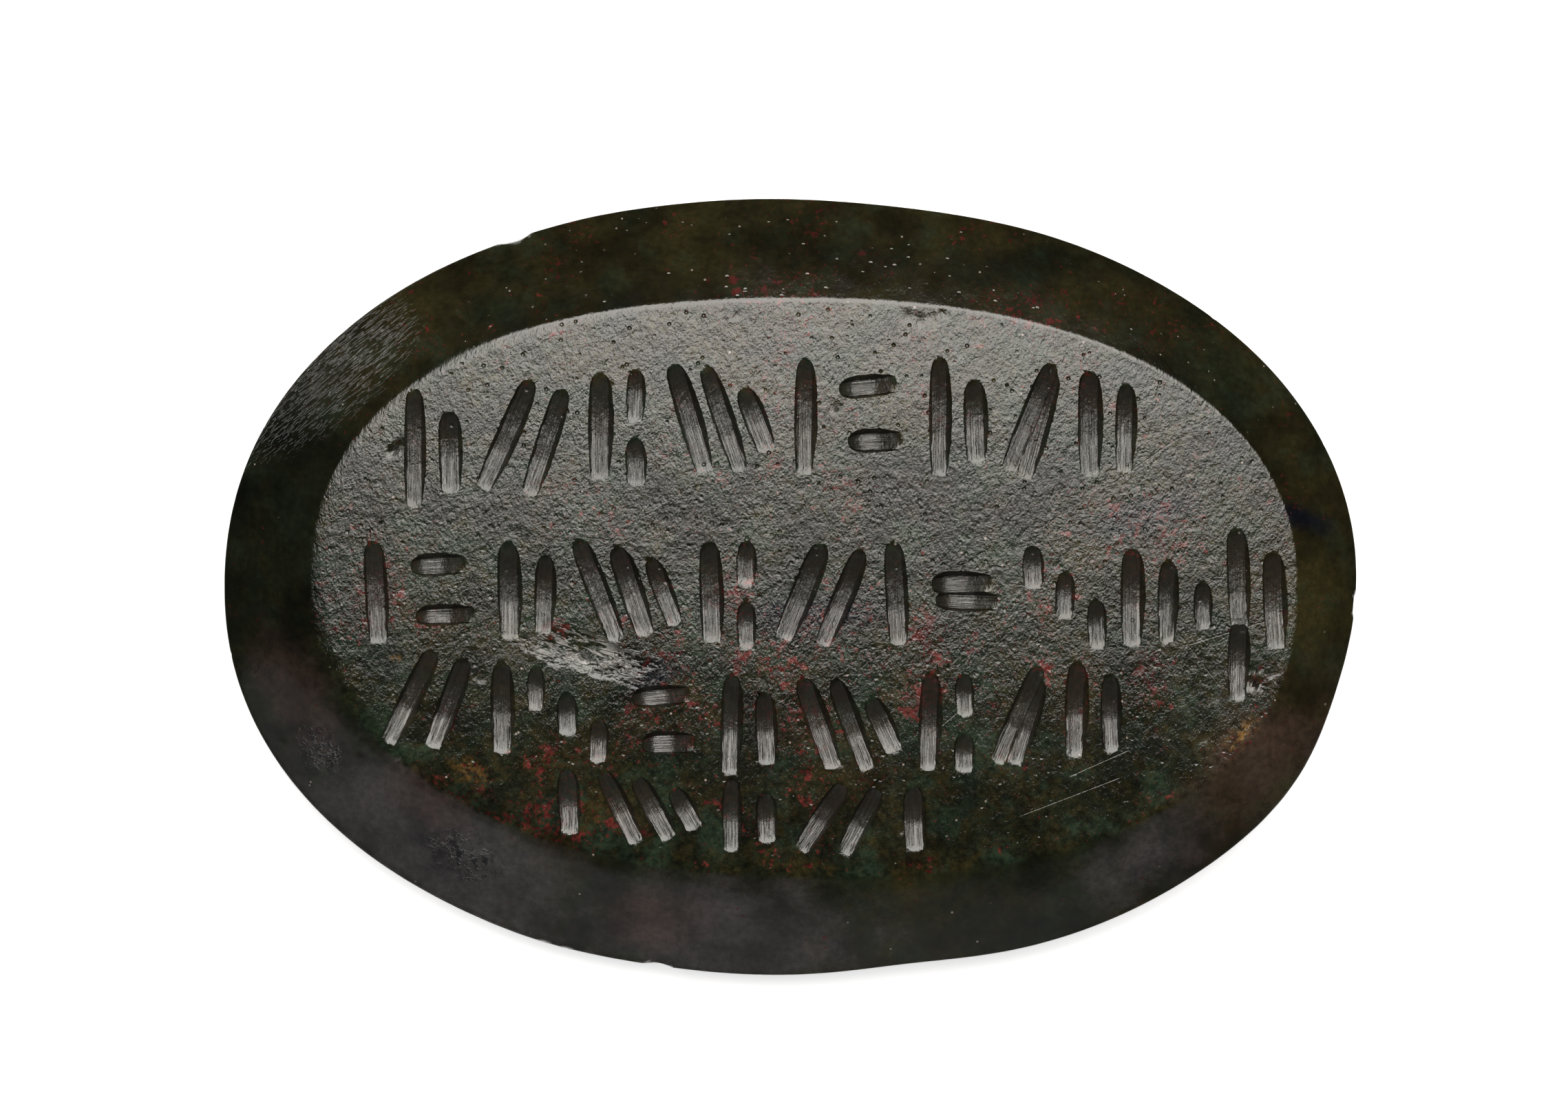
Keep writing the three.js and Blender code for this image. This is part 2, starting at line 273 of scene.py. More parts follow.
# Soft lights: name, azimuth and lean from straight up in degrees, distance, size, radiance and colour
SOFTBOXES = (
    ("head_softbox", 87.0, 28.0, 1.0, (0.8, 0.85), 7.9, (1.0, 0.965, 0.905)),
    ("foot_card", 246.0, 65.0, 0.8, (1.5, 0.3), 0.26, (0.96, 0.97, 1.0)),
)
WORLD_COLOUR = (0.9, 0.95, 1.0, 1.0)
WORLD_STRENGTH = 0.03
FLOOR_SIZE = 6.0
FLOOR_GLOW = 0.7
# The camera's lens and sensor in millimetres, the point that it looks at, and how wide it sees there
LENS = 150.0
SENSOR = 36.0
CLIP_START = 0.005
CLIP_END = 20.0
VIEW_POINT = (-0.12 * MM, 0.59 * MM, 1.2 * MM)
VIEW_WIDTH = 33.28 * MM


def size_of(name, description, millimetres):
    """A length that a user may change."""
    return FloatProperty(name=name, description=description, default=millimetres * MM, unit="LENGTH")


def colour_of(name, description, default):
    """A colour that a user may change."""
    return FloatVectorProperty(
        name=name, description=description, default=default, subtype="COLOR", min=0.0, max=1.0
    )


class GemSizes(PropertyGroup):
    """Sizes of the gem and of the strokes cut in it."""

    length: size_of("Length", "Length of the outline", 24.0)
    width: size_of("Width", "Width of the outline", 16.5)
    thickness: size_of("Thickness", "Height of the face's middle above the back", 2.6)
    back_slope: size_of("Back Slope", "Height of the slope round the back", 0.9)
    back_inset: size_of("Back Inset", "How far the back lies inside the girdle", 0.55)
    girdle: size_of("Girdle", "Height of the upright girdle where the border is widest", 0.3)
    crown: size_of("Crown", "Rise of the face from its edge to its middle", 0.18)
    head_border: size_of("Head Border", "Width of the sloping border at the head", 2.22)
    foot_border: size_of("Foot Border", "Width of the sloping border at the foot", 2.12)
    left_border: size_of("Left Border", "Width of the sloping border at the left", 1.9)
    right_border: size_of("Right Border", "Width of the sloping border at the right", 1.33)
    border_bulge: size_of("Border Bulge", "How far the border is rounded out across its slope", 0.04)
    stroke_width: size_of("Stroke Width", "Width of a stroke at the surface", 0.46)
    floor_width: size_of("Floor Width", "Width of a stroke's floor", 0.32)
    stroke_depth: size_of("Stroke Depth", "Depth of a stroke at its deepest place", 0.2)


class GemColours(PropertyGroup):
    """Colours of the jasper and of the floor."""

    stone: colour_of("Stone", "The dark green of most of the stone", (0.0072, 0.0084, 0.0040))
    olive: colour_of("Olive", "The olive brown drifts in the stone", (0.0160, 0.0130, 0.0042))
    leaf: colour_of("Leaf", "The clearer green patches", (0.0102, 0.0172, 0.0098))
    red: colour_of("Red", "The red specks", (0.075, 0.0140, 0.0115))
    ochre: colour_of("Ochre", "The yellow spots", (0.10, 0.052, 0.012))
    # Blue black of the clouds, also used as painted shade in the pits of the pitted patches
    ink_and_pit_shade: colour_of("Ink", "The blue black clouds", (0.0040, 0.0045, 0.0062))
    # The grey on the border's foot is partly patina and partly a painted sheen of reflected light
    patina_and_sheen: colour_of("Patina", "The grey patina on the border's foot", (0.030, 0.0270, 0.0270))
    umber: colour_of("Umber", "The brown clouds towards the foot", (0.034, 0.0200, 0.0165))
    ground: colour_of("Ground", "The dull ground stone in the cuts", (0.021, 0.0175, 0.0155))
    # The pale torn streaks are partly whitish scrapes and partly a painted sheen where the torn surface
    # catches light
    scuff_and_sheen: colour_of("Scuff", "The pale torn streaks of the rubbed place", (0.22, 0.21, 0.20))
    crystal: colour_of("Crystal", "The tiny pale grains", (0.30, 0.25, 0.22))
    floor: colour_of("Floor", "The studio floor", (0.93, 0.94, 0.95))


def clamp(value, low=0.0, high=1.0):
    return max(low, min(high, value))


def smooth_step(value):
    value = clamp(value)
    return value * value * (3.0 - 2.0 * value)


def quarter_round(share):
    """Rises from 0 to 1 as a quarter of a circle does."""
    return sqrt(1.0 - (1.0 - clamp(share)) ** 2)


def smooth_lower(first, second, reach):
    """The lower of two heights, rounded over where they are within reach of each other."""
    share = clamp(0.5 + 0.5 * (second - first) / reach)
    return second + (first - second) * share - reach * share * (1.0 - share)


def oval_radius(angle, half_length, half_width, exponents):
    """Distance from an oval's centre to its edge in one direction."""
    quarter = int(floor(angle / (0.5 * pi))) % 4
    power = exponents[quarter]
    along = abs(cos(angle) / half_length) ** power
    across = abs(sin(angle) / half_width) ** power
    return (along + across) ** (-1.0 / power)


def turn_between(start, end):
    """The angle from one direction to another, between minus and plus half a turn."""
    return atan2(sin(end - start), cos(end - start))


class GemForm:
    """The gem's form before it was worn: its ovals, heights and borders, in metres."""

    def __init__(self, sizes):
        self.half_length = 0.5 * sizes.length
        self.half_width = 0.5 * sizes.width
        self.face_half_length = 0.5 * (sizes.length - sizes.left_border - sizes.right_border)
        self.face_half_width = 0.5 * (sizes.width - sizes.head_border - sizes.foot_border)
        self.face_centre = Vector((
            0.5 * (sizes.left_border - sizes.right_border), 0.5 * (sizes.foot_border - sizes.head_border)
        ))
        self.top = sizes.thickness
        self.crown = sizes.crown
        self.bulge = sizes.border_bulge
        self.back_slope = sizes.back_slope
        self.back_inset = sizes.back_inset
        self.edge_height = sizes.thickness - sizes.crown
        widest = max(sizes.head_border, sizes.foot_border, sizes.left_border, sizes.right_border)
        self.border_fall = (self.edge_height - sizes.back_slope - sizes.girdle) / widest

    def girdle_point(self, angle):
        reach = oval_radius(angle, self.half_length, self.half_width, OUTLINE_EXPONENTS)
        for towards, depth, spread in GROUND_FLATS:
            turn = turn_between(radians(towards), angle)
            reach -= depth * exp(-((turn / radians(spread)) ** 2))
        return Vector((reach * cos(angle), reach * sin(angle)))

    def inset_point(self, angle, inset):
        """A point of the girdle's outline, drawn in towards the middle."""
        x, y = self.girdle_point(angle)
        return Vector((x * (1.0 - inset / self.half_length), y * (1.0 - inset / self.half_width)))

    def face_radius(self, angle):
        return oval_radius(angle, self.face_half_length, self.face_half_width, FACE_EXPONENTS)

    def face_point(self, angle):
        reach = self.face_radius(angle)
        return self.face_centre + Vector((reach * cos(angle), reach * sin(angle)))

    def border_width(self, angle):
        return (self.girdle_point(angle) - self.face_point(angle)).length

    def border_foot(self, angle):
        """Height of the girdle's upper edge: one slope all round lifts it where the border is narrow."""
        return self.edge_height - self.border_fall * self.border_width(angle)

    def edge_softness(self, angle):
        """How far the face's edge is worn round: crisp at the head's right, soft at the foot's left."""
        away = 0.5 - 0.5 * cos(angle - radians(CRISP_TOWARDS))
        return CRISP_EDGE + SOFTER_EDGE * away ** 1.5

    def top_height(self, angle, share, outside, border_width):
        """Height over a share of the face's radius, or outside its edge by a distance."""
        face = self.top - self.crown * share ** CROWN_POWER
        bulge = self.bulge * sin(pi * clamp(outside / border_width, -0.5, 1.0))
        border = self.edge_height - self.border_fall * outside + bulge
        return smooth_lower(face, border, self.edge_softness(angle))

    def locate(self, x, y):
        """Direction from the face's centre, share of its radius and distance outside its edge."""
        dx = x - self.face_centre.x
        dy = y - self.face_centre.y
        angle = atan2(dy, dx)
        radius = self.face_radius(angle)
        distance = hypot(dx, dy)
        return angle, distance / radius, distance - radius

    def surface_height(self, x, y):
        """Height of the uncut face over a point on it or close to its edge."""
        angle, share, outside = self.locate(x, y)
        return self.top_height(angle, share, outside, self.border_width(angle))


def uneven(number, kind):
    """Repeatable unevenness between -1 and 1 for the cut with this number."""
    return sin(number * 2.399 + kind * 1.7)


def lay_out_cuts(form, depth):
    """Every cut of every row, as (x, y, heading, length, depth)."""
    cuts = []
    for left, right, foot, height, arch, tilt, names in ROWS:
        height *= form.face_half_width
        start = form.face_centre.x + left * form.face_half_length
        run = (right - left) * form.face_half_length
        middle = start + 0.5 * run
        signs = [SIGNS[name] for name in names.split()]
        pitch = run / (sum(sign[0] for sign in signs) + len(signs) - 1)
        for width, strokes in signs:
            side = (start + 0.5 * width * pitch - middle) / (0.5 * run)
            lift = (tilt * side - arch * side ** 2) * height
            base = form.face_centre.y + foot * form.face_half_width + lift
            for x1, y1, x2, y2 in strokes:
                along = (x2 - x1) * pitch
                rise = (y2 - y1) * height
                number = len(cuts)
                cuts.append((
                    start + 0.5 * (x1 + x2) * pitch,
                    base + 0.5 * (y1 + y2) * height,
                    atan2(rise, along) + STROKE_WANDER * uneven(number, 0),
                    hypot(along, rise) * (1.0 + LENGTH_VARIATION * uneven(number, 1)),
                    depth * (1.0 + DEPTH_VARIATION * uneven(number, 2)),
                ))
            start += (width + 1.0) * pitch
    return cuts


def select_only(*objects):
    bpy.ops.object.select_all(action="DESELECT")
    for item in objects:
        item.select_set(True)
    bpy.context.view_layer.objects.active = objects[0]


def add_grid(name, cells, half_length, half_width, place):
    """A flat grid at its size and place, left in edit mode with all of it selected."""
    bpy.ops.object.select_all(action="DESELECT")
    bpy.ops.mesh.primitive_grid_add(x_subdivisions=cells[0], y_subdivisions=cells[1], size=2.0)
    grid = bpy.context.object
    grid.name = name
    grid.data.name = name
    bpy.ops.object.mode_set(mode="EDIT")
    bpy.ops.mesh.select_all(action="SELECT")
    bpy.ops.transform.resize(value=(half_length, half_width, 1.0), center_override=(0.0, 0.0, 0.0))
    bpy.ops.transform.translate(value=place)
    return grid


def select_rim():
    """In edit mode, selects the open edges alone."""
    bpy.ops.mesh.select_mode(type="EDGE")
    bpy.ops.mesh.select_all(action="DESELECT")
    bpy.ops.mesh.select_non_manifold(
        extend=False, use_wire=False, use_boundary=True, use_multi_face=False,
        use_non_contiguous=False, use_verts=False,
    )


def grid_to_oval(form, point):
    """The direction and the share of the radius that a point of a flat grid over the face stands for."""
    u = clamp((point.x - form.face_centre.x) / form.face_half_length, -1.0, 1.0)
    v = clamp((point.y - form.face_centre.y) / form.face_half_width, -1.0, 1.0)
    x = u * sqrt(1.0 - 0.5 * v * v)
    y = v * sqrt(1.0 - 0.5 * u * u)
    around = atan2(y, x)
    angle = atan2(form.face_half_width * sin(around), form.face_half_length * cos(around))
    return angle, hypot(x, y)


def rim_profile(form, upper):
    """Points in section from the girdle's upper edge, at this height, to the back, as (inset, height)."""
    lower = form.back_slope
    profile = [
        (GIRDLE_EASE, upper),
        (0.0, upper - GIRDLE_ROUND),
        (0.0, 0.5 * (upper + lower)),
        (0.0, lower + GIRDLE_ROUND),
        (GIRDLE_EASE, lower),
    ]
    for step in range(1, BACK_SLOPE_RINGS):
        share = step / BACK_SLOPE_RINGS
        profile.append((share * form.back_inset, lower * (1.0 - share)))
    profile.append((form.back_inset - BACK_EDGE_ROUND, lower * BACK_EDGE_ROUND / form.back_inset))
    profile.append((form.back_inset + 0.25 * BACK_EDGE_ROUND, 0.15 * BACK_EDGE_ROUND))
    profile.append((form.back_inset + BACK_EDGE_ROUND, 0.0))
    return profile


def place_front_point(form, point, ring):
    """Where a point of the flat grid and its rings lies on the gem."""
    angle, share = grid_to_oval(form, point)
    edge = form.face_point(angle)
    slope = form.girdle_point(angle) - edge
    width = slope.length
    slope.normalize()
    if ring == 0:
        rim = edge + EDGE_RINGS[0] * slope
        flat = form.face_centre + share * (rim - form.face_centre)
        return Vector((flat.x, flat.y, form.surface_height(flat.x, flat.y)))
    if ring < len(EDGE_RINGS) + BORDER_RINGS:
        if ring < len(EDGE_RINGS):
            outside = EDGE_RINGS[ring]
        else:
            step = (ring - len(EDGE_RINGS) + 1) / BORDER_RINGS
            outside = EDGE_RINGS[-1] + step * (width - GIRDLE_ROUND - EDGE_RINGS[-1])
        flat = edge + outside * slope
        face_share = (flat - form.face_centre).length / form.face_radius(angle)
        return Vector((flat.x, flat.y, form.top_height(angle, face_share, outside, width)))
    profile = rim_profile(form, form.border_foot(angle))
    inset, height = profile[ring - len(EDGE_RINGS) - BORDER_RINGS]
    flat = form.inset_point(angle, inset)
    return Vector((flat.x, flat.y, height))


def shape_front(form):
    """The face, its border, the girdle and the slope to the back, from one grid and extruded rings."""
    rim_rings = len(rim_profile(form, form.edge_height))
    gem = add_grid(
        "jasper_gem", FACE_CELLS, form.face_half_length, form.face_half_width,
        (*form.face_centre, form.top),
    )
    select_rim()
    for _ in range(len(EDGE_RINGS) + BORDER_RINGS + rim_rings - 1):
        bpy.ops.mesh.extrude_edges_move(TRANSFORM_OT_translate={"value": (0.0, 0.0, -RING_STEP)})
    bpy.ops.object.mode_set(mode="OBJECT")
    for vertex in gem.data.vertices:
        ring = round((form.top - vertex.co.z) / RING_STEP)
        vertex.co = place_front_point(form, vertex.co, ring)
    return gem


def shape_back(form):
    """The middle of the flat back, on a coarser grid."""
    inset = form.back_inset + BACK_MARGIN
    back = add_grid(
        "back", BACK_CELLS, form.face_half_length, form.face_half_width, (*form.face_centre, 0.0)
    )
    bpy.ops.object.mode_set(mode="OBJECT")
    for vertex in back.data.vertices:
        angle, share = grid_to_oval(form, vertex.co)
        flat = share * form.inset_point(angle, inset)
        vertex.co = (flat.x, flat.y, 0.0)
    return back


def shape_blank(form):
    """The whole uncut gem as one closed mesh."""
    gem = shape_front(form)
    back = shape_back(form)
    select_only(gem, back)
    bpy.ops.object.join()
    bpy.ops.object.mode_set(mode="EDIT")
    select_rim()
    bpy.ops.mesh.bridge_edge_loops()
    bpy.ops.mesh.select_all(action="SELECT")
    bpy.ops.mesh.normals_make_consistent(inside=False)
    bpy.ops.object.mode_set(mode="OBJECT")
    return gem


def wear_depth(form, point):
    """How far hand grinding and long wear leave the surface from its true form, outwards."""
    spot = point / MM
    rise, length = BROAD_WEAR
    depth = rise * noise.noise(spot / length)
    rise, length = FINE_WEAR
    depth += rise * noise.noise(spot / length + Vector((7.0, 1.0, 3.0)))
    angle, _, outside = form.locate(point.x, point.y)
    if outside > 0.0 and point.z > 0.5 * form.back_slope:
        lap = noise.noise(Vector((2.4 * cos(angle), 2.4 * sin(angle), 4.0)))
        depth += LAP_WEAR * lap * smooth_step(outside / LAP_WEAR_REACH)
    return depth * MM


def wear_surface(gem, form):
    """Moves each point along its normal by the wear there, apart from the flat back."""
    mesh = gem.data
    normals = [vertex.normal.copy() for vertex in mesh.vertices]
    for vertex, normal in zip(mesh.vertices, normals):
        if vertex.co.z > UNWORN_HEIGHT:
            vertex.co += wear_depth(form, vertex.co) * normal


def bite_edge(gem, centre, radius):
    """Pushes the points inside a ball out to its rough skin, as a chip leaves the stone."""
    for vertex in gem.data.vertices:
        away = vertex.co - centre
        skin = radius * (1.0 + BITE_ROUGHNESS * noise.noise(vertex.co / BITE_GRAIN))
        if away.length < skin:
            vertex.co = centre + away.normalized() * skin


def chip_edge(gem, form):
    """The larger chips of the girdle, and small nicks round it."""
    chooser = random.Random(NICK_SEED)
    bites = [(radians(towards), radius, bite) for towards, radius, bite in EDGE_CHIPS]
    for _ in range(NICK_COUNT):
        towards = chooser.uniform(0.0, 2.0 * pi)
        bites.append((towards, chooser.uniform(*NICK_RADII) * MM, chooser.uniform(*NICK_DEPTHS) * MM))
    for angle, radius, bite in bites:
        edge = form.girdle_point(angle)
        out = edge.normalized() * (radius - bite)
        centre = Vector((edge.x + out.x, edge.y + out.y, form.border_foot(angle)))
        bite_edge(gem, centre, radius)


def sink_pits(gem, form):
    """Small pits in the face and border, scattered and in the few places where they gather."""
    chooser = random.Random(PIT_SEED)
    pits = []
    for _ in range(PIT_COUNT):
        angle = chooser.uniform(0, 2 * pi)
        share = sqrt(chooser.uniform(0.0, 1.0))
        spot = share * form.girdle_point(angle)
        pits.append((spot, chooser.uniform(*PIT_RADII) * MM, chooser.uniform(*PIT_DEPTHS) * MM))
    for (x, y), spread, count in PIT_GATHERINGS:
        for _ in range(count):
            spot = Vector((chooser.gauss(x, spread) * MM, chooser.gauss(y, 0.6 * spread) * MM))
            radius = chooser.uniform(*GATHERED_RADII) * MM
            pits.append((spot, radius, chooser.uniform(*GATHERED_DEPTHS) * MM))
    tree = kdtree.KDTree(len(gem.data.vertices))
    for vertex in gem.data.vertices:
        side = 0.0 if vertex.co.z > form.back_slope else 1.0
        tree.insert((vertex.co.x, vertex.co.y, side), vertex.index)
    tree.balance()
    for spot, radius, depth in pits:
        for _, index, distance in tree.find_range((spot.x, spot.y, 0.0), radius):
            gem.data.vertices[index].co.z -= depth * (1.0 - (distance / radius) ** 2) ** 2


def make_cutter():
    """The closed stick that stands for the wheel's path, one unit each way, before it is shaped."""
    cutter = add_grid("wheel_path", (CUTTER_LENGTHS, CUTTER_CELLS), 1.0, 1.0, (0.0, 0.0, 0.0))
    select_rim()
    bpy.ops.mesh.extrude_edges_move(TRANSFORM_OT_translate={"value": (0.0, 0.0, 1.0)})
    bpy.ops.mesh.edge_face_add()
    bpy.ops.mesh.select_all(action="SELECT")
    bpy.ops.mesh.normals_make_consistent(inside=False)
    bpy.ops.object.mode_set(mode="OBJECT")
    return cutter


def sink_at(station, length, depth, lift, arc):
    """Depth of a stroke at a station that runs from -1 at its head to 1 at its foot."""
    deepest = min(depth, LIFT_SHARE * length * lift)
    from_head = 0.5 * (station + 1.0) * length
    from_foot = 0.5 * (1.0 - station) * length
    head = deepest * (1.0 - (clamp(from_head / arc, -1.0, 1.0) - 1.0) ** 2)
    return smooth_lower(head, from_foot * lift, LIFT_ROUND)


def cutter_section(column, half_floor, cheeks, depth):
    """One point of the cutter's section: its distance from the middle line, and its height."""
    side = -1.0 if column < CUTTER_CELLS / 2 else 1.0
    cheek = cheeks * (1.0 - WIDE_CHEEK_SHARE if side < 0.0 else WIDE_CHEEK_SHARE)
    from_side = min(column, CUTTER_CELLS - column)
    lip = min(LIP_HEIGHT, LIP_SHARE * max(depth, 0.0))
    lip_height = max(-lip, LEAST_LIP - depth)
    wall = half_floor + cheek * max(depth, 0.0)
    if from_side == 0:
        return side * (wall + CUTTER_FLARE), lip_height + CUTTER_FLARE
    if from_side == 1:
        return side * (wall + LIP_REACH), lip_height
    if from_side == 2:
        return side * (half_floor + CHEEK_FOOT), lip_height + CHEEK_FALL_SHARE * (-depth - lip_height)
    across = 2.0 * (column - 3) / (FLOOR_POINTS - 1) - 1.0
    return across * half_floor, -depth + FLOOR_DISH * across ** 2


def shape_cutter(cutter, cut, number, sizes, form):
    """Bends a copy of the cutter to one stroke, following the face under it."""
    x, y, heading, length, depth = cut
    cheeks = (sizes.stroke_width - sizes.floor_width) / sizes.stroke_depth
    upright = sin(heading) ** 2
    lift = STAVE_LIFT * upright + BAR_LIFT * (1.0 - upright)
    fall = STAVE_FALL * upright + BAR_FALL * (1.0 - upright)
    arc = (STAVE_HEAD_SHARE * upright + BAR_HEAD_SHARE * (1.0 - upright)) * length
    turn = Matrix.Rotation(heading, 2)
    for vertex in cutter.data.vertices:
        station = CUTTER_REACH * vertex.co.x
        column = round(0.5 * (vertex.co.y + 1.0) * CUTTER_CELLS)
        lid = vertex.co.z > 0.5
        sink = sink_at(station, length, depth, lift, arc)
        head = quarter_round((station + CUTTER_REACH) * 0.5 * length / HEAD_ROUND)
        foot = quarter_round((CUTTER_REACH - station) * 0.5 * length / FOOT_ROUND)
        blunt = head * (FOOT_FLOOR + FOOT_GROWTH * foot)
        half_floor = 0.5 * sizes.floor_width * max(blunt, LEAST_FLOOR)
        half_floor *= 1.0 + FLOOR_VARIATION * uneven(number, 3)
        across, height = cutter_section(column, half_floor, cheeks, sink)
        along = 0.5 * station * length
        waver = noise.noise(Vector((along / WAVER_LENGTH, across / WAVER_BREADTH, number * 3.1)))
        across += SIDE_WAVER * waver
        if not lid and 3 <= column <= CUTTER_CELLS - 3 and sink > 0.0:
            ridge = noise.noise(Vector((along / RIDGE_LENGTH, column * 1.37, number * 5.3)))
            height += (RIDGE_HEIGHT * ridge - fall * across) * clamp(sink / RIDGE_DEPTH)
        if lid:
            height = LID_HEIGHT
        flat = turn @ Vector((along, across))
        ground = form.surface_height(x + flat.x, y + flat.y)
        vertex.co = (x + flat.x, y + flat.y, height + ground)


def cut_strokes(gem, form, sizes, cuts):
    """Cuts the rows of strokes in a few passes, because neighbouring cuts may cross."""
    master = make_cutter()
    passes = [[] for _ in range(CUT_PASSES)]
    for number, cut in enumerate(cuts):
        cutter = master.copy()
        cutter.data = master.data.copy()
        bpy.context.collection.objects.link(cutter)
        shape_cutter(cutter, cut, number, sizes, form)
        passes[number % CUT_PASSES].append(cutter)
    bpy.data.objects.remove(master)
    for group in passes:
        select_only(*group)
        bpy.ops.object.join()
        tool = bpy.context.object
        select_only(gem)
        cutting = gem.modifiers.new("Strokes", "BOOLEAN")
        cutting.operation = "DIFFERENCE"
        cutting.solver = "MANIFOLD"
        cutting.object = tool
        bpy.ops.object.modifier_apply(modifier=cutting.name)
        bpy.data.objects.remove(tool)


def open_edges(mesh):
    """How many edges don't join exactly two faces."""
    uses = [0] * len(mesh.edges)
    for loop in mesh.loops:
        uses[loop.edge_index] += 1
    return sum(count != 2 for count in uses)


def stroke_lines(cuts):
    """Points along every stroke's middle line, to find the nearest stroke from."""
    spots = []
    for number, (x, y, heading, length, _) in enumerate(cuts):
        for step in range(LINE_STEPS + 1):
            along = (step / LINE_STEPS - 0.5) * length
            spots.append((x + along * cos(heading), y + along * sin(heading), number))
    tree = kdtree.KDTree(len(spots))
    for index, (x, y, _) in enumerate(spots):
        tree.insert((x, y, 0.0), index)
    tree.balance()
    return spots, tree


def mark_surface(gem, form, cuts):
    """Stores where the border and the cuts are, for the material: 0 away from them, 1 in them.

    In a cut, it also stores the place along and across the stroke, in millimetres, so that the wheel's
    marks can run along it.
    """
    mesh = gem.data
    border = mesh.attributes.new("border", "FLOAT", "POINT")
    cut = mesh.attributes.new("cut", "FLOAT", "POINT")
    stroke = mesh.attributes.new("stroke", "FLOAT_VECTOR", "POINT")
    spots, tree = stroke_lines(cuts)
    for vertex in mesh.vertices:
        x, y, z = vertex.co
        _, _, outside = form.locate(x, y)
        border.data[vertex.index].value = smooth_step(0.5 + outside / BORDER_BLEND)
        if outside < CUT_MARGIN and z > form.back_slope:
            below = form.surface_height(x, y) - z
            cut.data[vertex.index].value = smooth_step(below / CUT_BLEND)
            _, index, away = tree.find((x, y, 0.0))
            if away < STROKE_MARGIN:
                number = spots[index][2]
                middle_x, middle_y, heading, _, _ = cuts[number]
                dx = (x - middle_x) / MM
                dy = (y - middle_y) / MM
                along = dx * cos(heading) + dy * sin(heading)
                across = dy * cos(heading) - dx * sin(heading)
                stroke.data[vertex.index].vector = (along, across, 1.7 * number)


def centre_on_node(gem):
    """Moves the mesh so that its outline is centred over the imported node's."""
    mesh = gem.data
    lows = [min(vertex.co[axis] for vertex in mesh.vertices) for axis in (0, 1)]
    highs = [max(vertex.co[axis] for vertex in mesh.vertices) for axis in (0, 1)]
    low, high = NODE_BOX
    shift = [0.5 * (low[axis] + high[axis] - lows[axis] - highs[axis]) for axis in (0, 1)]
    mesh.transform(Matrix.Translation((shift[0], shift[1], low.z)))


